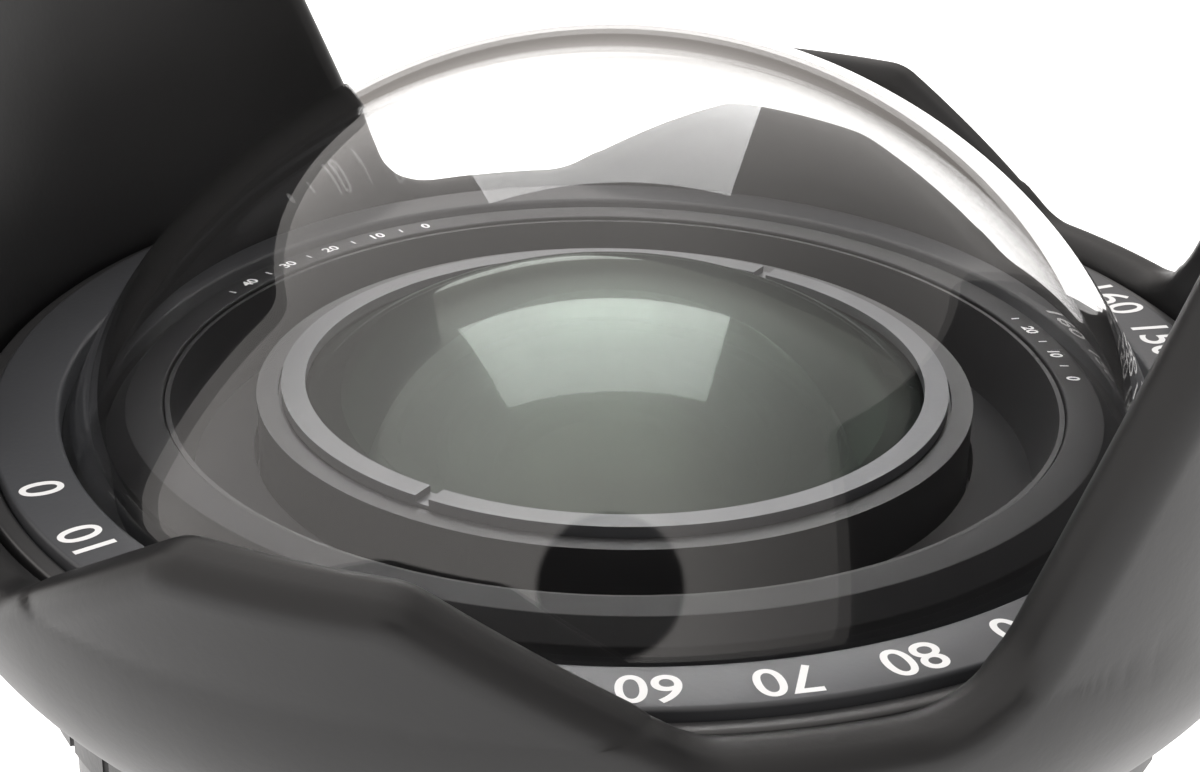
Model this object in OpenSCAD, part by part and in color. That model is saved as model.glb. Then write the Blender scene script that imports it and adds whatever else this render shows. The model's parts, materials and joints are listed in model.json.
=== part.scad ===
// Underwater fisheye lens: glass dome, petal hood, sealed barrel and rear bayonet.
// Millimetres, +Z along the optical axis towards the dome, origin at the centre of the rear end.
// The long sides of the picture face +Y and -Y, where the hood has its tall petals.

/* [Dome] */
// Outer radius of the glass dome
dome_r = 48; // [44:0.5:52]
// Thickness of the dome glass
dome_wall = 2.2; // [1.8:0.1:3.5]
// Height of the dome's cut base above its centre of curvature
dome_base_up = 14; // [10:0.5:17]

/* [Front] */
// Length of the front barrel up to the seat of the dome
front_len = 28; // [28:0.5:34]
// Height of the front barrel's rim above the dome seat
rim_up = 3.8; // [3:0.1:5]
// Thickness of the name ring
name_t = 2; // [1.5:0.1:3]
// Width of the name ring's face
name_w = 5.4; // [4:0.1:6]
// Outer radius of the front barrel behind the hood
front_r = 45.4; // [44.5:0.1:46]
// Inner radius of the front barrel
front_bore = 36.5; // [35:0.1:38]

/* [Hood] */
// Radius of the round shoulder in the hood's outer profile
hood_round = 22.5; // [20:0.5:24]
// Gap from the lock ring to the foot of the petals' inner wall
hood_step = 0.9; // [0.6:0.1:2]
// Wall thickness of the petals
petal_wall = 5.2; // [4.6:0.1:5.6]
// Wall thickness of the bowl below the petals
hood_wall = 3.4; // [2.5:0.1:4]
// Height of the short petals above the valleys
short_up = 11; // [6:0.5:14]
// Height of the tall petals above the valleys
tall_up = 40; // [30:1:46]
// Outward lean of the petals, radius per height
petal_lean = 0.16; // [0:0.01:0.3]
// Half angle of a short petal at its top
short_half = 8; // [6:0.5:12]
// Half angle of a short petal at the valley
short_foot = 27; // [22:0.5:29]
// Half angle of a tall petal at its top
tall_half = 27.5; // [24:0.5:34]
// Half angle of a tall petal at the valley
tall_foot = 43; // [40:0.5:48]
// Radius of the rounded corners along the petals' edge
petal_fillet = 5; // [3:0.5:6]

/* [Body] */
// Length of the main barrel between the mount plate and the front barrel
body_len = 41; // [41:0.5:46]
// Outer radius of the main barrel
body_r = 42.5; // [42:0.1:44]
// Length of the sealing spigot behind the main barrel's step
spigot_len = 10; // [9:0.5:10]
// Outer radius of the sealing spigot
spigot_r = 33; // [32.6:0.1:34]
// Outer radius of the land that carries the aperture ring
land_r = 38.5; // [38:0.1:39]
// Length of the land
land_len = 19; // [17:0.5:20]
// Outer radius of the aperture ring
aperture_r = 44.6; // [43:0.1:46]
// Number of grip ribs round the aperture ring
grip_ribs = 60; // [40:2:72]

/* [Mount] */
// Length of the bayonet collar
collar_len = 4; // [3.5:0.1:5]
// Outer radius of the bayonet collar
collar_r = 24.2; // [24:0.1:25]
// Inner radius of the bayonet collar
collar_bore = 22.6; // [22.5:0.1:22.8]
// Thickness of the mount plate
plate_t = 3; // [2.5:0.1:4]
// Radius of the bayonet lugs
lug_r = 26.2; // [25.6:0.1:27]
// Number of screws that hold the mount plate
mount_screws_n = 5; // [4:1:6]

/* [Front glass] */
// Radius of the front lens element
front_glass_r = 26; // [25:0.5:26]
// Radius of curvature of its front surface
front_glass_curve = 42; // [38:1:50]
// Outer radius of the front lens cell
cell_r = 29; // [28.8:0.1:29.4]

/* [Focus] */
// Forward travel of the focusing group
focus_travel = 3; // [2:0.5:4]
// Turn of the focus ring over that travel, in degrees
focus_turn = 100; // [80:5:110]
// Outer radius of the focusing cell
focus_cell_r = 17; // [16:0.1:17]
// Gear module of the focus drive
gear_module = 0.6; // [0.56:0.01:0.62]
// Teeth on a full circle of the focus sector
ring_teeth = 76; // [74:1:78]
// Teeth on the drive pinion
pinion_teeth = 19; // [17:1:20]

/* [Iris] */
// Number of iris blades
blade_n = 7; // [5:1:9]
// Radius of the wide open iris
iris_open_r = 10.4; // [9:0.1:11]
// Radius of the circle through the blade pivots
pivot_r = 20.5; // [20:0.1:21]
// Radius of the circle through the drive posts
post_r = 24.3; // [24:0.1:25]

/* [Clearances] */
// Radial clearance between fixed pieces that fit into each other
fit = 0.1; // [0.05:0.01:0.15]
// Radial clearance of a running fit
run = 0.08; // [0.04:0.01:0.1]
// Axial gap beside a turning piece
side = 0.3; // [0.2:0.05:0.4]

/* [Hidden] */
$fn = 96;
eps = 0.01;

// Heights of the main seats above the rear end
plate_z = collar_len;
body_z = plate_z + plate_t;
spigot_top = body_z + spigot_len;
front_z = body_z + body_len;
land_z = front_z - land_len;
seat_z = front_z + front_len;
dome_z = seat_z - dome_base_up;
rim_z = seat_z + rim_up;
name_z = rim_z + name_t;

// Radii round the dome
dome_in = dome_r - dome_wall;
function ball_r(radius, up) = sqrt(radius * radius - up * up);
dome_foot = ball_r(dome_r, dome_base_up);
dome_foot_in = ball_r(dome_in, dome_base_up);
seat_r = dome_foot + 2 * fit;
name_gap = 0.9;
name_in = ball_r(dome_r, name_z - dome_z) + name_gap;
name_out = name_in + name_w;
head_t = rim_z - (front_z + 24);
flare_up = 3;

// Seal under the dome
oring_t = 1.6;
dome_oring_r = (dome_foot + dome_foot_in) / 2;

// Web and ledge inside the front barrel
web_t = 4;
ledge_t = 2;
web_top = seat_z - ledge_t;
web_z = web_top - web_t;
inner_out = ball_r(dome_in, name_z + 0.4 - dome_z) - 0.6;
inner_in = inner_out - 4.3;
ledge_in = inner_out - 1.3;
inner_top = name_z + 0.4;

// Front cell
cell_top = name_z - 0.1;
cell_flange_t = 3.5;
cell_flange_r = front_bore - 1;
cell_tail = 9;
rear_of_cell = web_z - cell_tail;

// Hood
lock_in = name_out + fit;
lock_out = lock_in + 1.6;
hood_flange_in = lock_out + 3 * fit;
hood_inner_r = lock_out + hood_step;
hood_r = hood_inner_r + petal_wall;
floor_z = name_z - 0.8;
hood_flange_t = 3;
shoulder_z = floor_z + 3;
shoulder_r = hood_r - hood_round;
hood_foot_in = front_r + fit;
valley_z = floor_z + 1;
hood_top = valley_z + tall_up;
hood_foot_z = shoulder_z - sqrt(pow(hood_round, 2) - pow(hood_foot_in + 0.4 - shoulder_r, 2));
rear_ring_t = 3;

// Aperture ring
ring_z = land_z + side;
ring_h = land_len - 2 * side;
ring_in = land_r + run;
rib_depth = 1.1;
shaft_oring_t = 1.8;

// Iris, from the web of the main barrel upwards
main_web_t = 3;
main_web_top = front_z - 2;
main_web_z = main_web_top - main_web_t;
iris_base_t = 1;
blade_t = 0.25;
blade_step = 0.4;
blade_z = main_web_top + iris_base_t + 0.15;
rotor_z = blade_z + blade_n * blade_step + 0.2;
rotor_t = 1.2;
rotor_in = post_r - 1.5;
rotor_out = post_r + 3.9;
cover_z = rotor_z + rotor_t + side;
cover_t = 1.2;
iris_out = rotor_out + 2;
iris_post = 0.6;
drive_post = 0.7;
rotor_turn = 6.5;

// Focus drive
guide_in = focus_cell_r + run;
guide_out = guide_in + 1.5;
focus_in = guide_out + run;
focus_out = focus_in + 1.8;
guide_flange_t = 2;
mid_bore = 31;
guide_flange_r = mid_bore - 1;
guide_top = main_web_z;
guide_z = body_z + 3;
focus_cell_len = 20;
focus_cell_z = body_z + 8;
ring_pitch = gear_module * ring_teeth / 2;
pinion_pitch = gear_module * pinion_teeth / 2;
drive_r = ring_pitch + pinion_pitch;
gear_z = spigot_top + 3.5;
gear_t = 4;
focus_ring_z = gear_z;
focus_ring_top = guide_top - guide_flange_t - 4;
follower_z = focus_cell_z + 13.5;
follower_r = 1.2;
slot_play = 0.1;
shaft_r = 1.5;

// Stop-down lever
lever_w = 4;
lever_arm_r = rotor_out - 2.3;
lever_t = 1.2;
lever_in = focus_out + 0.45;
lever_angle = 180;

// Rear opening
spigot_bore = collar_bore + 0.2;
main_bore = ring_pitch + 2 * pinion_pitch + 2.5;
gear_room_z = spigot_top + 2.5;
gear_room_top = gear_z + gear_t + 3;

// Shared shapes

module tube(outer, inner, z, height) {
  translate([0, 0, z])
    difference() {
      cylinder(r = outer, h = height);
      translate([0, 0, -eps]) cylinder(r = inner, h = height + 2 * eps);
    }
}

module rod(radius, z, height) {
  translate([0, 0, z]) cylinder(r = radius, h = height);
}

module torus(ring, section, z) {
  translate([0, 0, z]) rotate_extrude() translate([ring, 0]) circle(r = section, $fn = 48);
}

module around(count, start = 0) {
  for (i = [0 : count - 1]) rotate([0, 0, start + i * 360 / count]) children();
}

// Part of a ball between two heights
module ball_slice(radius, centre_z, z_low, z_high) {
  intersection() {
    translate([0, 0, centre_z]) sphere(r = radius);
    rod(radius + 1, z_low, z_high - z_low);
  }
}

// Slotted screw, head down if flipped
module screw(head_r, head_h, shank_r, shank_l) {
  difference() {
    union() {
      cylinder(r = head_r, h = head_h);
      translate([0, 0, -shank_l]) cylinder(r = shank_r, h = shank_l + eps);
    }
    translate([-head_r, -0.25, head_h - 0.5]) cube([2 * head_r, 0.5, 1]);
  }
}

function arc(cx, cz, r, a0, a1, n) =
  [for (i = [0 : n]) let (a = a0 + (a1 - a0) * i / n) [cx + r * cos(a), cz + r * sin(a)]];

// Involute gear outline with thinned teeth
pressure = 20;
backlash = 0.12;
function involute(base, roll) =
  [base * (cos(roll) + roll * PI / 180 * sin(roll)), base * (sin(roll) - roll * PI / 180 * cos(roll))];
function turn(p, a) = [p[0] * cos(a) - p[1] * sin(a), p[0] * sin(a) + p[1] * cos(a)];
function inv_angle(a) = tan(a) * 180 / PI - a;
function flank(teeth, module_) =
  let (
    pitch = teeth * module_ / 2,
    base = pitch * cos(pressure),
    tip = pitch + 0.9 * module_,
    root = pitch - 1.2 * module_,
    roll_tip = sqrt(pow(tip / base, 2) - 1) * 180 / PI,
    half = 90 / teeth + inv_angle(pressure) - backlash / pitch * 90 / PI,
    steps = 4
  )
  concat(
    [turn([root, 0], -half)],
    [for (i = [0 : steps]) turn(involute(base, roll_tip * i / steps), -half)]
  );
function tooth(teeth, module_) =
  let (f = flank(teeth, module_))
  concat(f, [for (i = [len(f) - 1 : -1 : 0]) [f[i][0], -f[i][1]]]);
function gear_outline(teeth, module_, phase) =
  [for (k = [0 : teeth - 1]) for (p = tooth(teeth, module_)) turn(p, phase + k * 360 / teeth)];

// Hood

// Outline of one valley cut, seen along its own direction: tangential distance against height
function rounded(points, r) =
  let (n = len(points))
  [for (i = [0 : n - 1])
    let (
      a = points[(i + n - 1) % n], b = points[i], c = points[(i + 1) % n],
      u = (a - b) / norm(a - b), v = (c - b) / norm(c - b),
      half = acos(max(-1, min(1, u * v))) / 2,
      back = min(r / tan(half), norm(a - b) * 0.45, norm(c - b) * 0.45),
      radius = back * tan(half),
      middle = b + (u + v) / norm(u + v) * radius / sin(half),
      a0 = atan2((b + u * back - middle)[1], (b + u * back - middle)[0]),
      a1 = atan2((b + v * back - middle)[1], (b + v * back - middle)[0]),
      sweep = (a1 - a0 + 540) % 360 - 180
    )
    for (k = [0 : 5]) middle + radius * [cos(a0 + sweep * k / 5), sin(a0 + sweep * k / 5)]
  ];

function petal_in(z) = hood_inner_r + petal_lean * max(0, z - shoulder_z);
// Tangential distance from the middle of the valley, at the inner wall
valley_mid = (90 - tall_foot + short_foot) / 2;
function across(angle, z) = petal_in(z) * sin(angle);
valley_out = hood_r + 20;

module valley_cut() {
  over = hood_top + 10;
  short_z = valley_z + short_up;
  foot_x = across(90 - tall_foot - valley_mid, valley_z);
  top_x = across(90 - tall_half - valley_mid, hood_top);
  outline = rounded([
    [foot_x, valley_z],
    [foot_x + (top_x - foot_x) * (over - valley_z) / tall_up, over],
    [across(-valley_mid - 60, short_z), over],
    [across(-valley_mid - 60, short_z), short_z],
    [across(short_half - valley_mid, short_z), short_z],
    [across(short_foot - valley_mid, valley_z), valley_z]
  ], petal_fillet);
  rotate([0, 0, valley_mid])
    rotate([90, 0, 90])
      translate([0, 0, hood_r * 0.6])
        linear_extrude(height = valley_out) polygon(outline);
}

module hood_body() {
  foot_arc = asin((hood_foot_z - shoulder_z) / hood_round);
  inner_round = hood_round - hood_wall;
  inner_low = -acos((hood_foot_in - shoulder_r) / inner_round);
  flange_low = floor_z - hood_flange_t;
  inner_high = asin((flange_low - shoulder_z) / inner_round);
  rotate_extrude()
    polygon(concat(
      [[hood_foot_in, hood_foot_z]],
      arc(shoulder_r, shoulder_z, hood_round, foot_arc, 0, 24),
      [[hood_r + petal_lean * (hood_top - shoulder_z), hood_top],
       [petal_in(hood_top), hood_top],
       [hood_inner_r, shoulder_z],
       [hood_inner_r, floor_z - 0.2],
       [hood_flange_in, floor_z - 0.8],
       [hood_flange_in, flange_low]],
      arc(shoulder_r, shoulder_z, inner_round, inner_high, inner_low, 20)
    ));
}

module hood() {
  color("#1b1b1d")
    difference() {
      hood_body();
      valley_cut();
      mirror([1, 0, 0]) valley_cut();
      mirror([0, 1, 0]) valley_cut();
      mirror([0, 1, 0]) mirror([1, 0, 0]) valley_cut();
    }
}

module hood_lock_ring() {
  color("#3a3a3c")
    difference() {
      tube(lock_out, lock_in, rim_z - 3, floor_z - rim_z + 3);
      around(4, 45) translate([lock_in - 0.5, -0.5, floor_z - 0.6]) cube([3, 1, 1]);
    }
}

module hood_rear_ring() {
  color("#202022")
    difference() {
      tube(front_r + 2.6, front_r + fit, hood_foot_z - rear_ring_t, rear_ring_t);
      around(48) translate([front_r + 2.6, 0, hood_foot_z - rear_ring_t - eps])
        cylinder(r = 0.5, h = rear_ring_t + 2 * eps, $fn = 16);
    }
}

// Dome and front barrel

module name_ring() {
  color("#2b2d31")
    difference() {
      tube(name_out, name_in, rim_z, name_t);
      translate([0, 0, name_z - 0.35])
        rotate_extrude() polygon([[name_in - 1, 0.4], [name_in + 0.5, 0.4], [name_in - 0.1, -0.5], [name_in - 1, -0.5]]);
    }
}

module dome() {
  color([0.85, 0.88, 0.9, 0.3])
    difference() {
      ball_slice(dome_r, dome_z, seat_z, dome_z + dome_r + 1);
      translate([0, 0, dome_z]) sphere(r = dome_in);
    }
}

gasket_low = 0.8;
module dome_gasket() {
  low = seat_z + gasket_low;
  color("#101010")
    rotate_extrude()
      polygon([
        [ball_r(dome_r, low - dome_z) + 1.5 * fit, low], [seat_r - fit, low],
        [seat_r - fit, rim_z], [ball_r(dome_r, rim_z - dome_z) + 1.5 * fit, rim_z]
      ]);
}

module dome_oring() {
  color("#0c0c0c") torus(dome_oring_r, oring_t / 2, seat_z - oring_t / 2);
}

module inner_ring() {
  bevel = 1.5;
  color("#26282b")
    rotate_extrude()
      polygon([
        [inner_in, web_top], [ledge_in - fit, web_top], [ledge_in - fit, seat_z], [inner_out, seat_z],
        [inner_out, inner_top - bevel], [inner_out - bevel, inner_top], [inner_in, inner_top]
      ]);
}

baffle_floor = 1.4;
baffle_rise = 1.5;
module baffle() {
  outer = inner_in - fit;
  lower = outer - 1.8;
  color("#17181a")
    rotate_extrude()
      polygon([
        [cell_r + 0.4, web_top], [outer, web_top], [outer, inner_top - 0.3], [outer - 0.4, inner_top - 0.3],
        [lower, web_top + baffle_floor], [cell_r + 0.4, web_top + baffle_floor + baffle_rise]
      ]);
}

module front_barrel() {
  head_z = rim_z - rim_up - 2;
  color("#1e1f21")
    difference() {
      rotate_extrude()
        polygon([
          [foot_bore, front_z], [front_r, front_z], [front_r, head_z - flare_up], [name_out, head_z],
          [name_out, rim_z], [seat_r, rim_z], [seat_r, seat_z], [ledge_in, seat_z], [ledge_in, web_top],
          [cell_r + fit, web_top], [cell_r + fit, web_z], [front_bore, web_z],
          [front_bore, front_z + foot_t], [foot_bore, front_z + foot_t]
        ]);
      tube(dome_oring_r + oring_t / 2 + 0.1, dome_oring_r - oring_t / 2 - 0.1, seat_z - oring_t, oring_t + eps);
      around(3, 30) rod_at(cell_screw_r, web_z - eps, 3, 0.8 + 0.05);
      around(4, 45) rod_at(barrel_screw_r, front_z - eps, foot_t - 0.5, 1 + 0.05);
    }
}
cell_screw_r = cell_r + 3.2;
foot_bore = iris_out + 1.3;
foot_t = 5;
barrel_screw_r = (iris_out + land_r - shaft_oring_t) / 2 + 0.8;
module rod_at(radius, z, height, r) {
  translate([radius, 0, z]) cylinder(r = r, h = height, $fn = 24);
}

// Front lens group

front_rim = cell_top - 0.5;
front_edge_t = 4.5;
front_back_curve = 24;
front_back_r = 20;
front_seat_r = front_glass_r - 0.8;
front_sag = front_glass_curve - ball_r(front_glass_curve, front_seat_r);
back_sag = front_back_curve - ball_r(front_back_curve, front_back_r);
cell_wall = cell_r - front_glass_r - fit;
groove_w = 1.9;

spacer_h = 1.4;
second_r = 19.5;
second_top = front_rim - front_edge_t - spacer_h;
second_t = 5;
third_r = 15;
third_top = second_top - second_t - 0.6;
third_t = 4;
cell_floor_t = 1.5;
stop_lens_r = 12;
stop_seat = rear_of_cell + 1.4;

module front_cell() {
  flange_low = web_z - cell_flange_t;
  color("#1c1d1f")
    difference() {
      union() {
        rod(cell_r, rear_of_cell, cell_top - rear_of_cell);
        rod(cell_flange_r, flange_low, cell_flange_t);
      }
      rod(front_glass_r + fit, front_rim - front_edge_t, front_edge_t + 2);
      rod(front_glass_r + groove_w - 0.6, front_rim, 3);
      rod(second_r + fit, second_top - second_t, second_t + spacer_h + front_edge_t);
      rod(third_r + fit, third_top - third_t, third_t + 2);
      rod(stop_lens_r - 1, third_top - third_t - cell_floor_t - eps, 3);
      rod(stop_lens_r + fit, rear_of_cell - eps, third_top - third_t - cell_floor_t - rear_of_cell + eps);
      around(3, 30) rod_at(cell_screw_r, flange_low - eps, cell_flange_t + 1, 0.8 + 0.05);
    }
}

module cell_screws() {
  color("silver")
    around(3, 30)
      translate([cell_screw_r, 0, web_z - cell_flange_t])
        rotate([180, 0, 0]) screw(1.5, 1, 0.8, cell_flange_t + 2.5);
}

module front_lens() {
  color([0.75, 0.85, 0.82, 0.35])
    difference() {
      intersection() {
        rod(front_glass_r, front_rim - front_edge_t, front_edge_t + front_sag + 1);
        translate([0, 0, front_rim + front_sag - front_glass_curve]) sphere(r = front_glass_curve);
      }
      translate([0, 0, front_rim - front_edge_t + back_sag - front_back_curve]) sphere(r = front_back_curve);
    }
}

module front_retainer() {
  seat = front_rim + 0.35;
  color("#4a4a4d")
    difference() {
      tube(front_glass_r + groove_w - 0.6 - 0.3, front_seat_r - 0.1, seat, 0.9);
      translate([0, 0, front_rim + front_sag - front_glass_curve]) sphere(r = front_glass_curve + 0.05);
      around(2, 170) translate([front_glass_r - 1, -0.6, seat + 0.35]) cube([4, 1.2, 2]);
    }
}

module second_spacer() {
  color("#151515") tube(second_r, second_r - 1.2, second_top, spacer_h);
}

module second_lens() {
  curve = 60;
  hollow = 18;
  hollow_r = 14;
  sag = hollow - ball_r(hollow, hollow_r);
  color([0.8, 0.85, 0.75, 0.35])
    difference() {
      intersection() {
        rod(second_r, second_top - second_t, second_t + 6);
        translate([0, 0, second_top - 0.05 + curve - ball_r(curve, second_r - 1.2) - curve]) sphere(r = curve);
      }
      translate([0, 0, second_top - second_t + sag - hollow]) sphere(r = hollow);
    }
}

third_curve = 26;
module third_ball(radius) {
  translate([0, 0, third_top - ball_r(third_curve, third_r - 1)]) sphere(r = radius);
}
module third_lens() {
  color([0.85, 0.8, 0.85, 0.35])
    intersection() {
      rod(third_r, third_top - third_t, third_curve);
      third_ball(third_curve);
    }
}

module second_retainer() {
  color("#151515")
    difference() {
      tube(third_r, third_r - 1.5, third_top + 0.05, 0.55);
      third_ball(third_curve + 0.05);
    }
}

module stop_lens() {
  curve = 75;
  top = third_top - third_t - cell_floor_t;
  color([0.8, 0.8, 0.9, 0.35])
    intersection() {
      rod(stop_lens_r, stop_seat - 1.2, top - stop_seat + 1.2);
      translate([0, 0, stop_seat + ball_r(curve, stop_lens_r - 1.8)]) sphere(r = curve, $fn = 360);
    }
}

module stop_retainer() {
  color("#151515") tube(stop_lens_r - fit / 2, stop_lens_r - 1.8, rear_of_cell, stop_seat - rear_of_cell);
}

// Iris

slot_half = rotor_turn / 2 + asin(lever_w / 2 / (lever_arm_r - lever_t)) + 1.5;
module lever_slot(z, height) {
  from = lever_angle + rotor_turn / 2 - slot_half;
  translate([0, 0, z])
    rotate([0, 0, from])
      rotate_extrude(angle = 2 * slot_half)
        translate([lever_arm_r - lever_t - 0.8, 0]) square([lever_t * 2 + 1.6, height]);
}

module iris_base() {
  color("#2a2a2a")
    difference() {
      tube(iris_out, iris_open_r + 0.3, main_web_top, iris_base_t);
      around(blade_n) rod_at(pivot_r, main_web_top - eps, iris_base_t + 2 * eps, iris_post + 0.02);
      lever_slot(main_web_top - eps, iris_base_t + 2 * eps);
    }
}

module iris_pivots() {
  color("silver") around(blade_n) rod_at(pivot_r, main_web_top + 0.05, rotor_z - main_web_top - 0.25, iris_post);
}

module iris_rotor() {
  color("#3a3a3a") {
    tube(rotor_out, rotor_in, rotor_z, rotor_t);
    around(blade_n) rod_at(post_r, blade_z - 0.1, rotor_z - blade_z + 0.1 + eps, drive_post);
  }
}

module iris_cover() {
  hub_out = rotor_in - run;
  color("#2a2a2a")
    difference() {
      union() {
        tube(iris_out, iris_open_r + 0.6, cover_z, cover_t);
        tube(hub_out, hub_out - 1, rotor_z - 0.1, cover_z - rotor_z + 0.1 + eps);
        tube(iris_out, rotor_out + 0.4, main_web_top + iris_base_t, cover_z - main_web_top - iris_base_t + eps);
      }
    }
}

// The lever hangs from the rotor, steps in below the web and ends inside the bayonet
module stopdown_lever() {
  jog_z = focus_ring_top + 1;
  jog_t = 1.6;
  tail_z = 1.2;
  color("silver")
    rotate([0, 0, lever_angle])
      rotate([90, 0, 0])
        translate([0, 0, -lever_w / 2])
          linear_extrude(height = lever_w)
            polygon([
              [lever_arm_r, rotor_z], [lever_arm_r - lever_t, rotor_z], [lever_arm_r - lever_t, jog_z + jog_t],
              [lever_in, jog_z + jog_t], [lever_in, tail_z], [lever_in + lever_t, tail_z],
              [lever_in + lever_t, jog_z], [lever_arm_r, jog_z]
            ]);
}

blade_span = 96;
blade_out = pivot_r - 1.9;
module blade(index) {
  ear_w = 3.8;
  fork = drive_post + 0.25;
  color("#4b4b4d")
    rotate([0, 0, (index - 1) * 360 / blade_n])
      translate([0, 0, blade_z + (index - 1) * blade_step])
        linear_extrude(height = blade_t)
          difference() {
            union() {
              intersection() {
                difference() {
                  circle(r = blade_out);
                  circle(r = iris_open_r);
                }
                polygon([[0, 0], 40 * [cos(-4), sin(-4)], 40 * [cos(45), sin(45)], 40 * [cos(blade_span), sin(blade_span)]]);
              }
              translate([blade_out - 1.5, -ear_w / 2]) square([post_r + 1.9 - blade_out + 1.5, ear_w]);
            }
            translate([pivot_r, 0]) circle(r = iris_post + 0.07, $fn = 24);
            translate([pivot_r + 1.6, -fork]) square([6, 2 * fork]);
          }
}

// Main barrel

mount_oring_t = 2.4;
oring_groove = mount_oring_t + 0.02;
mount_oring_z = body_z + spigot_len / 2;
module main_barrel() {
  color("#1a1b1d")
    difference() {
      rotate_extrude()
        polygon([
          [spigot_bore, body_z], [spigot_r, body_z], [spigot_r, spigot_top], [body_r - 1, spigot_top],
          [body_r, spigot_top + 1], [body_r, land_z], [land_r, land_z], [land_r, front_z],
          [iris_out + 0.6, front_z], [iris_out + 0.6, main_web_top], [focus_cell_r + 0.6, main_web_top],
          [focus_cell_r + 0.6, main_web_z], [mid_bore, main_web_z], [mid_bore, gear_room_top],
          [main_bore, gear_room_top], [main_bore, gear_room_z], [spigot_bore, gear_room_z]
        ]);
      tube(spigot_r + 1, spigot_r - oring_groove, mount_oring_z - mount_oring_t / 2 - 0.2, mount_oring_t + 0.4);
      for (z = [land_z + 2.6, front_z - 2.6])
        tube(land_r + 1, land_r - shaft_oring_t, z - shaft_oring_t / 2 - 0.15, shaft_oring_t + 0.3);
      rod_at(drive_r, body_z - eps, gear_room_z - body_z + 2 * eps, shaft_r + run);
      around(mount_screws_n, 36) rod_at(mount_screw_r, body_z - eps, 4, 0.9 + 0.05);
      around(4, 45) rod_at(barrel_screw_r, front_z - 9, 9 + eps, 1 + 0.05);
      around(3) rod_at(guide_screw_r, main_web_z - eps, 2, 0.7 + 0.05);
      lever_slot(main_web_z - eps, main_web_t + 2 * eps);
    }
}

module barrel_screws() {
  color("#555555")
    around(4, 45) rod_at(barrel_screw_r, front_z - 8.5, 8 + foot_t - 0.5, 1);
}

module aperture_ring() {
  color("#1d1e20")
    difference() {
      rotate_extrude()
        polygon([
          [ring_in, ring_z], [aperture_r - 1.2, ring_z], [aperture_r - 0.4, ring_z + 0.8],
          [aperture_r - 0.4, ring_z + 5.2], [aperture_r - 2, ring_z + 5.2],
          [aperture_r - 2, ring_z + ring_h - 1.8], [aperture_r - 0.4, ring_z + ring_h - 1.8],
          [aperture_r - 0.4, ring_z + ring_h - 0.6], [aperture_r - 1, ring_z + ring_h], [ring_in, ring_z + ring_h]
        ]);
      around(1, -90) translate([aperture_r - 0.65, -0.35, ring_z + 1.2]) cube([1, 0.7, 3.4]);
    }
}

module aperture_grip() {
  low = ring_z + 5.2 + 0.05;
  high = ring_z + ring_h - 1.8 - 0.05;
  color("#121212")
    difference() {
      tube(aperture_r, aperture_r - 2 + fit / 2, low, high - low);
      around(grip_ribs) translate([aperture_r + 0.35, 0, low - eps])
        cylinder(r = rib_depth, h = high - low + 2 * eps, $fn = 16);
    }
}

module aperture_oring_front() {
  color("#0c0c0c") torus(land_r - shaft_oring_t / 2, shaft_oring_t / 2, front_z - 2.6);
}

module aperture_oring_rear() {
  color("#0c0c0c") torus(land_r - shaft_oring_t / 2, shaft_oring_t / 2, land_z + 2.6);
}

module index_mark() {
  color("white")
    rotate([0, 0, -90])
      translate([body_r, 0, land_z - 3]) rotate([0, 90, 0])
        cylinder(r = 0.9, h = 0.25, $fn = 32);
}

// Focusing

guide_screw_r = focus_out + 4.2;
module guide_tube() {
  color("#8d8f92")
    difference() {
      union() {
        tube(guide_out, guide_in, guide_z, guide_top - guide_z);
        tube(guide_flange_r, guide_in, guide_top - guide_flange_t, guide_flange_t);
      }
      around(3)
        translate([guide_in - 1, 0, 0]) {
          for (z = [follower_z, follower_z + focus_travel])
            translate([0, 0, z]) rotate([0, 90, 0]) cylinder(r = follower_r + slot_play, h = 4, $fn = 32);
          translate([0, -follower_r - slot_play, follower_z])
            cube([4, 2 * (follower_r + slot_play), focus_travel]);
        }
      around(3) rod_at(guide_screw_r, guide_top - guide_flange_t - eps, guide_flange_t + 1, 0.7 + 0.05);
      lever_slot(guide_top - guide_flange_t - eps, guide_flange_t + 2 * eps);
    }
}

module guide_screws() {
  color("silver")
    around(3)
      translate([guide_screw_r, 0, guide_top - guide_flange_t])
        rotate([180, 0, 0]) screw(1.3, 0.9, 0.7, guide_flange_t + 1.5);
}

// Three helical slots lift the followers as the ring turns
slot_steps = 28;
cam_play = 0.25;
module focus_ring() {
  color("#a39a7c")
    difference() {
      tube(focus_out, focus_in, focus_ring_z, focus_ring_top - focus_ring_z);
      around(3)
        for (i = [-1 : slot_steps + 1])
          rotate([0, 0, -focus_turn * i / slot_steps])
            translate([focus_in - 1, 0, follower_z + focus_travel * i / slot_steps])
              rotate([0, 90, 0]) cylinder(r = follower_r + cam_play, h = 4, $fn = 24);
    }
}

// Toothed sector fixed to the foot of the focus ring
sector_lead = 16;
module focus_gear() {
  phase = 180 / ring_teeth;
  color("#b8a866")
    translate([0, 0, gear_z])
      difference() {
        intersection() {
          linear_extrude(height = gear_t) polygon(gear_outline(ring_teeth, gear_module, phase));
          rotate([0, 0, -focus_turn - sector_lead])
            rotate_extrude(angle = focus_turn + 2 * sector_lead) square([ring_pitch + 3, gear_t]);
        }
        translate([0, 0, -eps]) cylinder(r = focus_out + fit / 2, h = gear_t + 2 * eps);
      }
}

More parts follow.
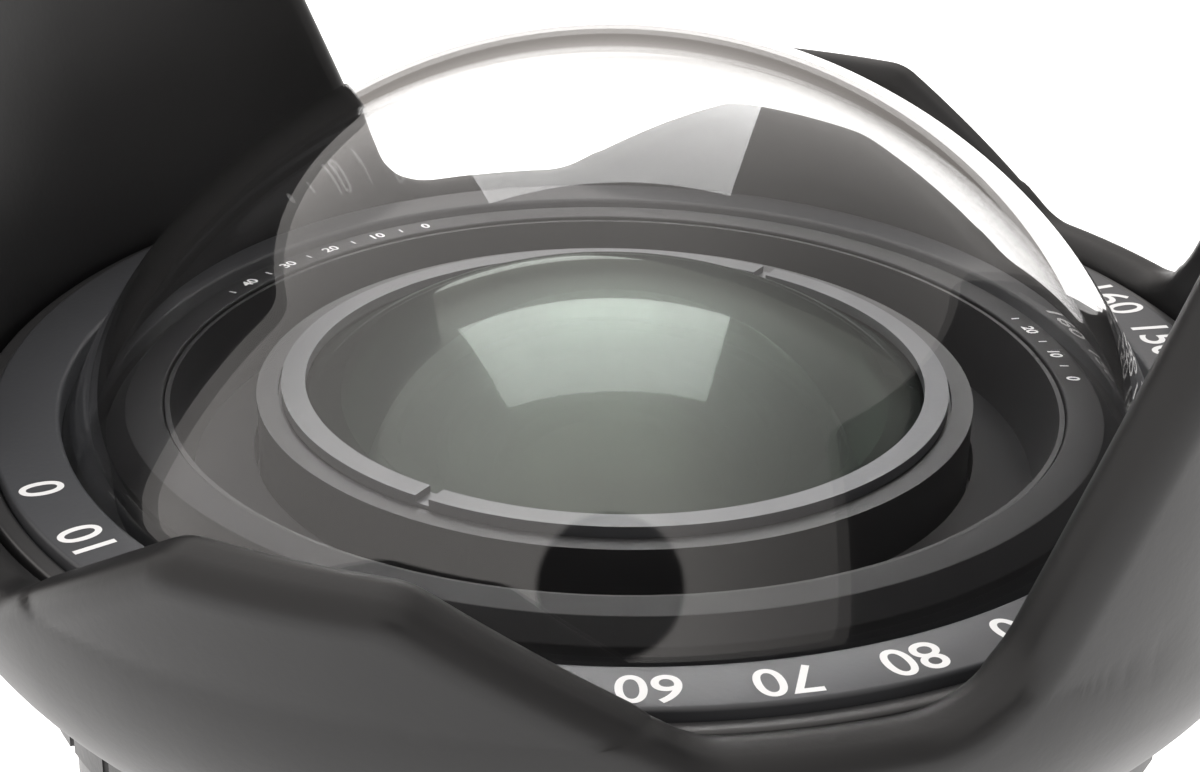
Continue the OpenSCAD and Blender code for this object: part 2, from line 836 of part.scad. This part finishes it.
rear_group_r = 14;
rear_glass_r = 12.5;
module focus_cell() {
  color("#1c1d1f")
    difference() {
      rod(focus_cell_r, focus_cell_z, focus_cell_len);
      rod(rear_group_r + fit, focus_cell_z + rear_group_up, focus_cell_len);
      rod(rear_glass_r - 1.5, focus_cell_z - eps, focus_cell_len);
      rod(rear_glass_r + fit, focus_cell_z - eps, 7.5 + 2 * eps);
      around(3)
        translate([focus_cell_r - 2.5, 0, follower_z]) rotate([0, 90, 0])
          cylinder(r = follower_r + 0.02, h = 4, $fn = 32);
    }
}

module followers() {
  color("silver")
    around(3)
      translate([focus_cell_r - 2.4, 0, follower_z]) rotate([0, 90, 0])
        cylinder(r = follower_r, h = focus_out - focus_cell_r + 2.2, $fn = 32);
}

rear_group_curve = 24;
rear_group_up = 9;
rear_group_edge = 3.5;
module rear_group_ball(radius) {
  low = focus_cell_z + rear_group_up;
  translate([0, 0, low + rear_group_edge - ball_r(rear_group_curve, rear_group_r)]) sphere(r = radius);
}
module rear_group_lens() {
  color([0.85, 0.85, 0.8, 0.35])
    intersection() {
      rod(rear_group_r, focus_cell_z + rear_group_up, rear_group_curve);
      rear_group_ball(rear_group_curve);
    }
}

module rear_spacer() {
  low = focus_cell_z + rear_group_up + rear_group_edge + 0.05;
  color("#151515")
    difference() {
      tube(rear_group_r, rear_group_r - 1.8, low, focus_cell_z + focus_cell_len - low);
      rear_group_ball(rear_group_curve + 0.05);
    }
}

module rear_lens() {
  curve = 30;
  high = focus_cell_z + 7.5;
  low = focus_cell_z + 2.2;
  color([0.8, 0.85, 0.8, 0.35])
    intersection() {
      rod(rear_glass_r, low - 3, high - low + 3);
      translate([0, 0, low - curve + ball_r(curve, rear_glass_r - 1) + curve]) sphere(r = curve);
    }
}

module rear_retainer() {
  color("#151515")
    difference() {
      tube(rear_glass_r, rear_glass_r - 1.2, focus_cell_z, 2.1);
      translate([0, 0, focus_cell_z + 2.2 + ball_r(30, rear_glass_r - 1)]) sphere(r = 30.05);
    }
}

module drive_shaft() {
  head_r = 2.3;
  color("silver")
    difference() {
      union() {
        translate([drive_r, 0, plate_z + 0.3]) cylinder(r = head_r, h = plate_t - 0.5);
        translate([drive_r, 0, plate_z + 0.3]) cylinder(r = shaft_r, h = gear_z + gear_t + 1 - plate_z - 0.3);
      }
      translate([drive_r - 3, -0.4, plate_z]) cube([6, 0.8, 1.1]);
    }
}

module drive_pinion() {
  color("#b8a866")
    translate([drive_r, 0, gear_z])
      difference() {
        linear_extrude(height = gear_t) polygon(gear_outline(pinion_teeth, gear_module, 180));
        translate([0, 0, -eps]) cylinder(r = shaft_r + 0.02, h = gear_t + 2 * eps);
      }
}

// Rear bayonet

mount_screw_r = (collar_r + spigot_r) / 2;
lug_t = 1.7;
lug_gap_z = 0.7;
module mount_plate() {
  color("#c9cacc")
    difference() {
      union() {
        tube(spigot_r - 1, collar_bore, plate_z, plate_t);
        tube(collar_r, collar_bore, 0, collar_len + eps);
        for (a = [0, 120, 240])
          rotate([0, 0, a + 8])
            rotate_extrude(angle = 48)
              translate([collar_r - 0.5, lug_gap_z]) square([lug_r - collar_r + 0.5, lug_t]);
      }
      rod_at(drive_r, plate_z - eps, plate_t + 2 * eps, 2.3 + 2 * run);
      around(mount_screws_n, 36) {
        rod_at(mount_screw_r, plate_z - eps, plate_t + 2 * eps, 0.9 + 0.05);
        rod_at(mount_screw_r, plate_z - eps, 1.1, 1.9 + 0.05);
      }
    }
}

module mount_screws() {
  color("#8f9092")
    around(mount_screws_n, 36)
      translate([mount_screw_r, 0, plate_z + 1.1 - eps])
        rotate([180, 0, 0]) screw(1.9, 1, 0.9, plate_t + 2);
}

module mount_oring() {
  color("#0c0c0c") torus(spigot_r - oring_groove + mount_oring_t / 2, mount_oring_t / 2, mount_oring_z);
}

block_angle = 90;
block_w = 13;
block_t = 3;
module contact_block() {
  outer = collar_bore - fit;
  color("#141414")
    rotate([0, 0, block_angle])
      difference() {
        intersection() {
          rod(outer, 1.5, body_z + 2 - 1.5);
          translate([outer - block_t, -block_w / 2, 0]) cube([block_t + 1, block_w, body_z + 3]);
        }
        contact_row() cylinder(r = 0.55 + 0.02, h = 3);
      }
}
module contact_row() {
  for (k = [-2 : 2]) translate([collar_bore - 1.9 - abs(k) * 0.12, k * 2.3, 1.2]) children();
}

module contact_pins() {
  color("gold")
    rotate([0, 0, block_angle]) contact_row() cylinder(r = 0.55, h = 2.9, $fn = 24);
}

hood();
hood_lock_ring();
hood_rear_ring();
name_ring();
dome();
dome_gasket();
dome_oring();
inner_ring();
baffle();
front_barrel();
front_cell();
cell_screws();
front_lens();
front_retainer();
second_spacer();
second_lens();
third_lens();
second_retainer();
stop_lens();
stop_retainer();
iris_base();
iris_pivots();
iris_rotor();
iris_cover();
stopdown_lever();
blade(1);  // blade_1
blade(2);  // blade_2
blade(3);  // blade_3
blade(4);  // blade_4
blade(5);  // blade_5
blade(6);  // blade_6
blade(7);  // blade_7
main_barrel();
barrel_screws();
aperture_ring();
aperture_grip();
aperture_oring_front();
aperture_oring_rear();
index_mark();
guide_tube();
guide_screws();
focus_ring();
focus_gear();
focus_cell();
followers();
rear_group_lens();
rear_spacer();
rear_lens();
rear_retainer();
drive_shaft();
drive_pinion();
mount_plate();
mount_screws();
mount_oring();
contact_block();
contact_pins();
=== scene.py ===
import json
import math

import bmesh
import bpy
from mathutils import Matrix, Vector


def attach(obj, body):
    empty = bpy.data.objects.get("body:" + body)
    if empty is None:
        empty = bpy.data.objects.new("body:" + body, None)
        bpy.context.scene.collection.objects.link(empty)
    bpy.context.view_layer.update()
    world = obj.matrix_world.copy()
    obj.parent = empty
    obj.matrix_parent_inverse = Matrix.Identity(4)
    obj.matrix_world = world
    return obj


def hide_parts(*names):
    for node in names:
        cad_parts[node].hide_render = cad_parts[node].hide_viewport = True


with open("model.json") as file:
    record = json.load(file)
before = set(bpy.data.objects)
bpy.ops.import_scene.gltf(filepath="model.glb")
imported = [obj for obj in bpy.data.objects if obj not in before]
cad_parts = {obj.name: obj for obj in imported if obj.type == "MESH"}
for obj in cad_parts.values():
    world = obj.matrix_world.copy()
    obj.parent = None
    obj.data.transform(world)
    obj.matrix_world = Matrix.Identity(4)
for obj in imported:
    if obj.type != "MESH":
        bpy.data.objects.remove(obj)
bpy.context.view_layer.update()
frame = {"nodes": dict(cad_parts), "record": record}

print("frame loaded")

mm = 0.001
nodes = frame["nodes"]


# Materials


def newMaterial(name):
    material = bpy.data.materials.new(name)
    material.use_nodes = True
    tree = material.node_tree
    tree.nodes.clear()
    output = tree.nodes.new("ShaderNodeOutputMaterial")
    return material, tree, output


def solidMaterial(
    name, color, roughness, metallic=0.0, grain=0.0, grainScale=900.0, wear=0.0, specular=0.5
):
    material, tree, output = newMaterial(name)
    shader = tree.nodes.new("ShaderNodeBsdfPrincipled")
    shader.inputs["Base Color"].default_value = (*color, 1)
    shader.inputs["Roughness"].default_value = roughness
    shader.inputs["Metallic"].default_value = metallic
    shader.inputs["Specular IOR Level"].default_value = specular
    tree.links.new(shader.outputs[0], output.inputs["Surface"])
    place = tree.nodes.new("ShaderNodeTexCoord")
    if grain > 0:
        fine = tree.nodes.new("ShaderNodeTexNoise")
        fine.inputs["Scale"].default_value = grainScale
        fine.inputs["Detail"].default_value = 4
        tree.links.new(place.outputs["Object"], fine.inputs["Vector"])
        bump = tree.nodes.new("ShaderNodeBump")
        bump.inputs["Strength"].default_value = grain
        bump.inputs["Distance"].default_value = 0.0002
        tree.links.new(fine.outputs["Fac"], bump.inputs["Height"])
        tree.links.new(bump.outputs[0], shader.inputs["Normal"])
    if wear > 0:
        broad = tree.nodes.new("ShaderNodeTexNoise")
        broad.inputs["Scale"].default_value = 70
        broad.inputs["Detail"].default_value = 8
        tree.links.new(place.outputs["Object"], broad.inputs["Vector"])
        spread = tree.nodes.new("ShaderNodeMapRange")
        spread.inputs["From Min"].default_value = 0.3
        spread.inputs["From Max"].default_value = 0.75
        spread.inputs["To Min"].default_value = roughness - wear
        spread.inputs["To Max"].default_value = roughness + wear
        tree.links.new(broad.outputs["Fac"], spread.inputs["Value"])
        tree.links.new(spread.outputs[0], shader.inputs["Roughness"])
    return material


def glassMaterial(name, ior, coat, coatLevel, tint=(1, 1, 1)):
    material, tree, output = newMaterial(name)
    glass = tree.nodes.new("ShaderNodeBsdfGlass")
    glass.inputs["IOR"].default_value = ior
    glass.inputs["Roughness"].default_value = 0
    glass.inputs["Color"].default_value = (*tint, 1)
    sheen = tree.nodes.new("ShaderNodeBsdfGlossy")
    sheen.inputs["Color"].default_value = (*coat, 1)
    sheen.inputs["Roughness"].default_value = 0.3
    coated = tree.nodes.new("ShaderNodeMixShader")
    coated.inputs["Fac"].default_value = coatLevel
    tree.links.new(glass.outputs[0], coated.inputs[1])
    tree.links.new(sheen.outputs[0], coated.inputs[2])
    clear = tree.nodes.new("ShaderNodeBsdfTransparent")
    light = tree.nodes.new("ShaderNodeLightPath")
    final = tree.nodes.new("ShaderNodeMixShader")
    tree.links.new(light.outputs["Is Shadow Ray"], final.inputs["Fac"])
    tree.links.new(coated.outputs[0], final.inputs[1])
    tree.links.new(clear.outputs[0], final.inputs[2])
    tree.links.new(final.outputs[0], output.inputs["Surface"])
    return material


hoodBlack = solidMaterial(
    "hoodBlack", (0.009, 0.009, 0.0095), 0.40, grain=0.06, grainScale=1500, wear=0.05, specular=0.42
)
barrelBlack = solidMaterial(
    "barrelBlack", (0.010, 0.010, 0.011), 0.38, grain=0.1, grainScale=1500, wear=0.06
)
ringGrey = solidMaterial(
    "ringGrey", (0.055, 0.057, 0.062), 0.36, grain=0.06, grainScale=1800, wear=0.05
)
innerBlack = solidMaterial("innerBlack", (0.008, 0.008, 0.009), 0.5)
innerSatin = solidMaterial("innerSatin", (0.010, 0.010, 0.011), 0.5, specular=0.22)
satinRing = solidMaterial("satinRing", (0.03, 0.03, 0.031), 0.3, specular=0.7)
sealBlack = solidMaterial("sealBlack", (0.008, 0.008, 0.008), 0.55)
gripRubber = solidMaterial("gripRubber", (0.012, 0.012, 0.012), 0.6, grain=0.2)
whitePaint = solidMaterial("whitePaint", (0.8, 0.8, 0.8), 0.5)
steel = solidMaterial("steel", (0.55, 0.55, 0.56), 0.3, metallic=1.0)
bladeSteel = solidMaterial("bladeSteel", (0.05, 0.05, 0.055), 0.4, metallic=0.6)
chrome = solidMaterial("chrome", (0.75, 0.76, 0.78), 0.18, metallic=1.0, wear=0.05)
aluminium = solidMaterial("aluminium", (0.6, 0.61, 0.62), 0.35, metallic=1.0)
brass = solidMaterial("brass", (0.72, 0.55, 0.25), 0.28, metallic=1.0)
blackPlastic = solidMaterial("blackPlastic", (0.02, 0.02, 0.02), 0.4)
domeGlass = glassMaterial("domeGlass", 1.5, (0.9, 0.95, 1.0), 0.0)
frontGlass = glassMaterial("frontGlass", 1.5, (0.74, 0.86, 0.79), 0.065, (0.5, 0.55, 0.51))
innerGlass = glassMaterial("innerGlass", 1.35, (0.85, 0.7, 0.5), 0.01, (0.8, 0.8, 0.76))

slotMaterial = {
    "black_anodised": barrelBlack,
    "satin_black": ringGrey,
    "inner_black": innerBlack,
    "optical_glass": innerGlass,
    "seal_rubber": sealBlack,
    "steel": steel,
    "blade_steel": bladeSteel,
    "chrome_mount": chrome,
    "bare_aluminium": aluminium,
    "brass": brass,
    "black_plastic": blackPlastic,
    "white_paint": whitePaint,
}
for entry in frame["record"]["subparts"]:
    piece = nodes[entry["node"]]
    piece.data.materials.clear()
    piece.data.materials.append(slotMaterial[entry["material_slot"]])
nodes["aperture_grip"].data.materials[0] = gripRubber
print("materials ready")


# Shape helpers


def sharpen(bm, limit):
    for face in bm.faces:
        face.smooth = True
    for edge in bm.edges:
        if len(edge.link_faces) == 2 and edge.calc_face_angle(0) > limit:
            edge.smooth = False


def finishMesh(name, bm, material, limit=0.6):
    bmesh.ops.remove_doubles(bm, verts=bm.verts, dist=1e-7)
    bmesh.ops.recalc_face_normals(bm, faces=bm.faces)
    sharpen(bm, limit)
    mesh = bpy.data.meshes.new(name)
    bm.to_mesh(mesh)
    bm.free()
    mesh.materials.append(material)
    piece = bpy.data.objects.new(name, mesh)
    bpy.context.scene.collection.objects.link(piece)
    return piece


def fillet(points, radii, steps=5):
    count = len(points)
    out = []
    for i in range(count):
        a, b, c = Vector(points[i - 1]), Vector(points[i]), Vector(points[(i + 1) % count])
        radius = radii[i] if isinstance(radii, (list, tuple)) else radii
        u, v = (a - b).normalized(), (c - b).normalized()
        half = math.acos(max(-1, min(1, u.dot(v)))) / 2
        if radius <= 0 or half > 1.5:
            out.append(b)
            continue
        back = min(radius / math.tan(half), (a - b).length * 0.48, (c - b).length * 0.48)
        radius = back * math.tan(half)
        middle = b + (u + v).normalized() * (radius / math.sin(half))
        first = b + u * back - middle
        last = b + v * back - middle
        a0 = math.atan2(first.y, first.x)
        sweep = (math.atan2(last.y, last.x) - a0 + 3 * math.pi) % (2 * math.pi) - math.pi
        for k in range(steps + 1):
            angle = a0 + sweep * k / steps
            out.append(middle + radius * Vector((math.cos(angle), math.sin(angle))))
    return out


def spinPiece(name, profile, material, segments=256):
    bm = bmesh.new()
    verts = [bm.verts.new((max(p[0], 0) * mm, 0, p[1] * mm)) for p in profile]
    pairs = list(zip(verts, verts[1:])) + [(verts[-1], verts[0])]
    edges = [bm.edges.new(pair) for pair in pairs]
    bmesh.ops.spin(
        bm,
        geom=verts + edges,
        cent=(0, 0, 0),
        axis=(0, 0, 1),
        angle=2 * math.pi,
        steps=segments,
        use_merge=True,
    )
    return finishMesh(name, bm, material)


def arcPoints(centre, radius, fromAngle, toAngle, steps):
    return [
        (
            centre[0] + radius * math.cos(math.radians(fromAngle + (toAngle - fromAngle) * k / steps)),
            centre[1] + radius * math.sin(math.radians(fromAngle + (toAngle - fromAngle) * k / steps)),
        )
        for k in range(steps + 1)
    ]


def ballR(radius, up):
    return math.sqrt(radius * radius - up * up)


# Sizes shared with the solids, in millimetres
dome = {"r": 48.0, "wall": 2.2, "z": 62.0, "seat": 76.0}
rimZ = 79.8
nameZ = 81.8
floorZ = 81.0
nameIn = ballR(dome["r"], nameZ - dome["z"]) + 0.9
nameOut = nameIn + 5.4
lockIn = nameOut + 0.1
lockOut = lockIn + 1.6
innerTop = nameZ + 0.4
innerOut = ballR(dome["r"] - dome["wall"], innerTop - dome["z"]) - 0.6
innerIn = innerOut - 4.3


# Petal hood

hoodSize = {
    "shoulderR": 35.3,
    "shoulderZ": 84.0,
    "round": 22.5,
    "wall": 5.2,
    "thinner": 1.8,
    "lean": 0.16,
    "valleyZ": 82.0,
    "short": 93.0,
    "top": 122.0,
    "shortHalf": 8.0,
    "shortFoot": 27.0,
    "tallHalf": 27.3,
    "tallFoot": 43.0,
    "edge": 2.0,
    "outerEnd": 66.44,
    "innerEnd": 67.2,
}


def rimQuarter():
    h = hoodSize
    toLength = math.radians(1) * (h["shoulderR"] + h["round"] - h["wall"] / 2)
    corner = [
        (-20, h["short"]),
        (h["shortHalf"], h["short"]),
        (h["shortFoot"], h["valleyZ"]),
        (90 - h["tallFoot"], h["valleyZ"]),
        (90 - h["tallHalf"], h["top"]),
        (110, h["top"]),
    ]
    flat = [(a * toLength, z) for a, z in corner]
    rounds = [0, 5.0, 7.0, 8.0, 6.0, 0]
    curve = fillet(flat, rounds, steps=14)[1:-1]
    start = Vector((0, h["short"]))
    end = Vector((90 * toLength, h["top"]))
    points = [start] + [p for p in curve if 0 < p.x < end.x] + [end]
    dense = []
    for a, b in zip(points, points[1:]):
        pieces = max(1, int((b - a).length / 0.55))
        for k in range(pieces):
            dense.append(a + (b - a) * (k / pieces))
    dense.append(end)
    return dense, toLength


def rimLoop():
    quarter, toLength = rimQuarter()
    normals = []
    for i, p in enumerate(quarter):
        along = quarter[min(i + 1, len(quarter) - 1)] - quarter[max(i - 1, 0)]
        if i in (0, len(quarter) - 1):
            along = Vector((1, 0))
        along.normalize()
        normals.append(Vector((along.y, -along.x)))
    loop = []
    for turn in range(4):
        flip = turn % 2 == 1
        order = range(len(quarter) - 1, 0, -1) if flip else range(len(quarter) - 1)
        for i in order:
            p, n = quarter[i], normals[i]
            if flip:
                angleOf = lambda q, t=turn: 90 * (t + 1) - q.x / toLength
            else:
                angleOf = lambda q, t=turn: 90 * t + q.x / toLength
            loop.append((p, n, angleOf))
    return loop


def hoodPoint(angle, z, lift):
    h = hoodSize
    middle = h["round"] - h["wall"] / 2
    if z >= h["shoulderZ"]:
        r = h["shoulderR"] + middle + h["lean"] * (z - h["shoulderZ"])
        away = Vector((1, -h["lean"])).normalized()
    else:
        drop = h["shoulderZ"] - z
        side = math.sqrt(max(0.0, middle * middle - drop * drop))
        r = h["shoulderR"] + side
        away = Vector((side, -drop)).normalized()
    r += lift * away.x
    z += lift * away.y
    turn = math.radians(angle)
    return Vector((r * math.cos(turn), r * math.sin(turn), z)) * mm


def buildHood():
    h = hoodSize
    half = h["wall"] / 2
    edge = h["edge"]
    bm = bmesh.new()
    rows = []
    loop = rimLoop()
    depth = 2.4
    below = 78.2

    def ring(points):
        rows.append([bm.verts.new(p) for p in points])

    def wall(lift, order):
        parts = []
        for k in range(15):
            share = k / 14
            points = []
            for p, n, angleOf in loop:
                q = p + n * depth
                q = Vector((q.x, q.y + (below - q.y) * share))
                points.append(hoodPoint(angleOf(q), q.y, lift))
            parts.append(points)
        low = math.degrees(math.asin((below - h["shoulderZ"]) / (h["round"] - half)))
        lowest = h["outerEnd"] if lift > 0 else h["innerEnd"]
        end = math.degrees(math.asin((lowest - h["shoulderZ"]) / (h["round"] - half)))
        for k in range(1, 19):
            z = h["shoulderZ"] + (h["round"] - half) * math.sin(math.radians(low + (end - low) * k / 18))
            away = lift if lift > 0 else lift + h["thinner"] * min(1, k / 4)
            points = []
            for p, n, angleOf in loop:
                q = p + n * depth
                points.append(hoodPoint(angleOf(q), z, away))
            parts.append(points)
        for points in parts if order > 0 else reversed(parts):
            ring(points)

    wall(half, -1)
    for k in range(6, -1, -1):
        angle = math.radians(15 * k)
        lift = half - edge + edge * math.sin(angle)
        inset = edge * (1 - math.cos(angle))
        ring([hoodPoint(angleOf(p + n * inset), (p + n * inset).y, lift) for p, n, angleOf in loop])
    for k in range(7):
        angle = math.radians(15 * k)
        lift = -(half - edge + edge * math.sin(angle))
        inset = edge * (1 - math.cos(angle))
        ring([hoodPoint(angleOf(p + n * inset), (p + n * inset).y, lift) for p, n, angleOf in loop])
    wall(-half, 1)
    count = len(rows[0])
    loops = list(zip(rows, rows[1:])) + [(rows[-1], rows[0])]
    for upper, lower in loops:
        for i in range(count):
            j = (i + 1) % count
            bm.faces.new((upper[i], upper[j], lower[j], lower[i]))
    return finishMesh("hoodShell", bm, hoodBlack, 0.9)


hood = buildHood()
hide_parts("hood")
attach(hood, "barrel")

print("hood built")


# Rings round the dome

nameRing = spinPiece(
    "nameRing",
    fillet([(nameIn, rimZ), (nameOut, rimZ), (nameOut, nameZ), (nameIn, nameZ)], [0, 0, 0.35, 0.4]),
    ringGrey,
)
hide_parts("name_ring")
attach(nameRing, "barrel")

lockRing = spinPiece(
    "lockRing",
    fillet(
        [(lockIn, 76.8), (lockOut, 76.8), (lockOut, floorZ), (lockIn, floorZ)],
        [0, 0, 0.4, 0.4],
    ),
    satinRing,
)
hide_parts("hood_lock_ring")
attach(lockRing, "barrel")

innerRing = spinPiece(
    "innerRing",
    fillet(
        [
            (innerIn, 74.0), (innerOut - 1.4, 74.0), (innerOut - 1.4, 76.0), (innerOut, 76.0),
            (innerOut, innerTop - 1.5), (innerOut - 1.5, innerTop), (innerIn, innerTop),
        ],
        [0, 0, 0, 0, 0.3, 0.2, 0.2],
    ),
    innerSatin,
)
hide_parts("inner_ring")
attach(innerRing, "barrel")
print("rings built")


# Glass

baseUp = dome["seat"] - dome["z"]
inside = dome["r"] - dome["wall"]
outerArc = arcPoints((0, dome["z"]), dome["r"], math.degrees(math.asin(baseUp / dome["r"])), 90, 160)
innerArc = arcPoints((0, dome["z"]), inside, 90, math.degrees(math.asin(baseUp / inside)), 160)
domePiece = spinPiece("domeShell", outerArc + innerArc, domeGlass, segments=320)
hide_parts("dome")
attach(domePiece, "barrel")


def lensPiece(name, node, material, rim, edge, radius, seat, frontCurve, backCurve, backR):
    sag = frontCurve - ballR(frontCurve, seat)
    top = (0, rim + sag - frontCurve)
    front = arcPoints(top, frontCurve, math.degrees(math.acos(radius / frontCurve)), 90, 64)
    low = rim - edge
    if backCurve > 0:
        backSag = backCurve - ballR(backCurve, backR)
        centre = (0, low + backSag - backCurve)
        back = arcPoints(centre, backCurve, 90, math.degrees(math.acos(backR / backCurve)), 64)
    else:
        back = [(0, low)]
    piece = spinPiece(name, [(radius, low)] + front + back, material, segments=192)
    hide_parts(node)
    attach(piece, "barrel")


lensPiece("frontElement", "front_lens", frontGlass, 81.2, 4.5, 26.0, 25.2, 42.0, 24.0, 20.0)
lensPiece("secondElement", "second_lens", innerGlass, 75.25, 4.95, 19.5, 18.3, 60.0, 18.0, 14.0)
lensPiece("thirdElement", "third_lens", innerGlass, 69.7, 4.0, 15.0, 14.0, 26.0, 0, 0)
print("glass built")


# Numbers and marks


def flatText(name, words, height, material, place):
    curve = bpy.data.curves.new(name, "FONT")
    curve.body = words
    curve.size = height * mm / 0.7
    curve.align_x = "CENTER"
    curve.align_y = "CENTER"
    curve.offset = 0.00004
    holder = bpy.data.objects.new(name + "Curve", curve)
    bpy.context.scene.collection.objects.link(holder)
    bpy.context.view_layer.update()
    mesh = bpy.data.meshes.new_from_object(holder.evaluated_get(bpy.context.evaluated_depsgraph_get()))
    bpy.data.objects.remove(holder)
    mesh.transform(place)
    mesh.materials.clear()
    mesh.materials.append(material)
    return mesh


def joinMeshes(name, meshes, body):
    bm = bmesh.new()
    for mesh in meshes:
        bm.from_mesh(mesh)
    piece = finishMesh(name, bm, meshes[0].materials[0])
    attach(piece, body)
    return piece


def onFace(angle, radius, z):
    turn = Matrix.Rotation(math.radians(angle), 4, "Z")
    return turn @ Matrix.Translation((radius * mm, 0, z * mm)) @ Matrix.Rotation(-math.pi / 2, 4, "Z")


def bar(length, width, place):
    bm = bmesh.new()
    bmesh.ops.create_grid(bm, x_segments=1, y_segments=1, size=0.5)
    bmesh.ops.scale(bm, vec=(width * mm, length * mm, 1), verts=bm.verts)
    bmesh.ops.transform(bm, matrix=place, verts=bm.verts)
    mesh = bpy.data.meshes.new("bar")
    bm.to_mesh(mesh)
    bm.free()
    mesh.materials.append(whitePaint)
    return mesh


marks = []
paintUp = 0.02
numberR = (nameIn + nameOut) / 2 + 0.1
numberStart = -42
numberStep = 11
for k in range(17):
    place = onFace(numberStep * k + numberStart, numberR, nameZ + paintUp)
    marks.append(flatText("ringNumber", str(10 * k), 3.3, whitePaint, place))
joinMeshes("ringNumbers", marks, "barrel")

marks = []
middle = (innerIn + innerOut - 1.5) / 2
for start, count in ((-130, 10), (112, 6)):
    for k in range(count):
        place = onFace(start + 4 * k, middle, innerTop + paintUp)
        if k % 2 == 0:
            marks.append(flatText("innerNumber", str(5 * k), 1.1, whitePaint, place))
        else:
            marks.append(bar(0.8, 0.16, place))
joinMeshes("innerNumbers", marks, "barrel")

marks = []
for k, words in enumerate(["2.8", "4", "5.6", "8", "11", "16", "22"]):
    turn = Matrix.Rotation(math.radians(-90 - 9 * k), 4, "Z")
    upright = Matrix(((0, 0, 1, 0), (1, 0, 0, 0), (0, 1, 0, 0), (0, 0, 0, 1)))
    face = Matrix.Translation((44.23 * mm, 0, 32.2 * mm)) @ upright
    marks.append(flatText("stopNumber", words, 2.2, whitePaint, turn @ face))
joinMeshes("stopNumbers", marks, "aperture")
print("numbers set")


# Stage, light and camera

floorMaterial = solidMaterial("floorWhite", (0.9, 0.9, 0.9), 0.9, specular=0.0)
floorShader = next(n for n in floorMaterial.node_tree.nodes if n.type == "BSDF_PRINCIPLED")
floorShader.inputs["Emission Color"].default_value = (1, 1, 1, 1)
floorShader.inputs["Emission Strength"].default_value = 0.75
bm = bmesh.new()
bmesh.ops.create_grid(bm, x_segments=1, y_segments=1, size=6)
floor = finishMesh("floorPlane", bm, floorMaterial)

world = bpy.data.worlds.new("sceneWorld")
bpy.context.scene.world = world
world.use_nodes = True
tree = world.node_tree
tree.nodes.clear()
output = tree.nodes.new("ShaderNodeOutputWorld")
sky = tree.nodes.new("ShaderNodeBackground")
seen = tree.nodes.new("ShaderNodeBackground")
pick = tree.nodes.new("ShaderNodeMixShader")
path = tree.nodes.new("ShaderNodeLightPath")
where = tree.nodes.new("ShaderNodeTexCoord")


def towards(direction):
    node = tree.nodes.new("ShaderNodeVectorMath")
    node.operation = "DOT_PRODUCT"
    node.inputs[1].default_value = direction
    tree.links.new(where.outputs["Generated"], node.inputs[0])
    return node.outputs["Value"]


def eased(source, low, high, atLow, atHigh):
    node = tree.nodes.new("ShaderNodeMapRange")
    node.interpolation_type = "SMOOTHSTEP"
    node.inputs["From Min"].default_value = low
    node.inputs["From Max"].default_value = high
    node.inputs["To Min"].default_value = atLow
    node.inputs["To Max"].default_value = atHigh
    tree.links.new(source, node.inputs["Value"])
    return node.outputs[0]


def product(first, second):
    node = tree.nodes.new("ShaderNodeMath")
    node.operation = "MULTIPLY"
    tree.links.new(first, node.inputs[0])
    tree.links.new(second, node.inputs[1])
    return node.outputs[0]


behind = eased(towards((-0.935, -0.355, 0.0)), 0.1, 0.5, 0.0, 1.0)
low = eased(towards((0.0, 0.0, 1.0)), 0.16, 0.38, 1.0, 0.0)
lens = eased(towards((0.810, 0.308, 0.498)), 0.968, 0.974, 1.0, 0.03)
side = eased(towards((-0.355, 0.935, 0.0)), 0.0, 0.7, 1.15, 0.5)
tone = tree.nodes.new("ShaderNodeMix")
tone.data_type = "RGBA"
tone.inputs[6].default_value = (1.0, 0.955, 0.92, 1)
tone.inputs[7].default_value = (0.27, 0.25, 0.235, 1)
tree.links.new(product(behind, low), tone.inputs[0])
tree.links.new(tone.outputs[2], sky.inputs["Color"])
tree.links.new(product(lens, side), sky.inputs["Strength"])
seen.inputs["Color"].default_value = (1, 1, 1, 1)
seen.inputs["Strength"].default_value = 1.0
tree.links.new(path.outputs["Is Camera Ray"], pick.inputs["Fac"])
tree.links.new(sky.outputs[0], pick.inputs[1])
tree.links.new(seen.outputs[0], pick.inputs[2])
tree.links.new(pick.outputs[0], output.inputs["Surface"])


def areaLamp(name, place, target, size, power):
    lamp = bpy.data.lights.new(name, "AREA")
    lamp.shape = "SQUARE"
    lamp.size = size
    lamp.energy = power
    holder = bpy.data.objects.new(name, lamp)
    holder.location = place
    holder.rotation_euler = (Vector(target) - Vector(place)).to_track_quat("-Z", "Y").to_euler()
    bpy.context.scene.collection.objects.link(holder)
    return holder


backLamp = areaLamp("backLamp", (-0.55, -0.25, 0.75), (0, 0, 0.08), 0.6, 6)
backLamp.visible_glossy = False

camera = bpy.data.cameras.new("camera")
camera.lens = 75
camera.sensor_width = 36
holder = bpy.data.objects.new("camera", camera)
holder.location = (0.17349, 0.0659, 0.16872)
holder.rotation_euler = (1.12896, -0.01731, 1.94852)
bpy.context.scene.collection.objects.link(holder)
bpy.context.scene.camera = holder
bpy.context.scene.view_settings.view_transform = "Standard"
print("stage set")
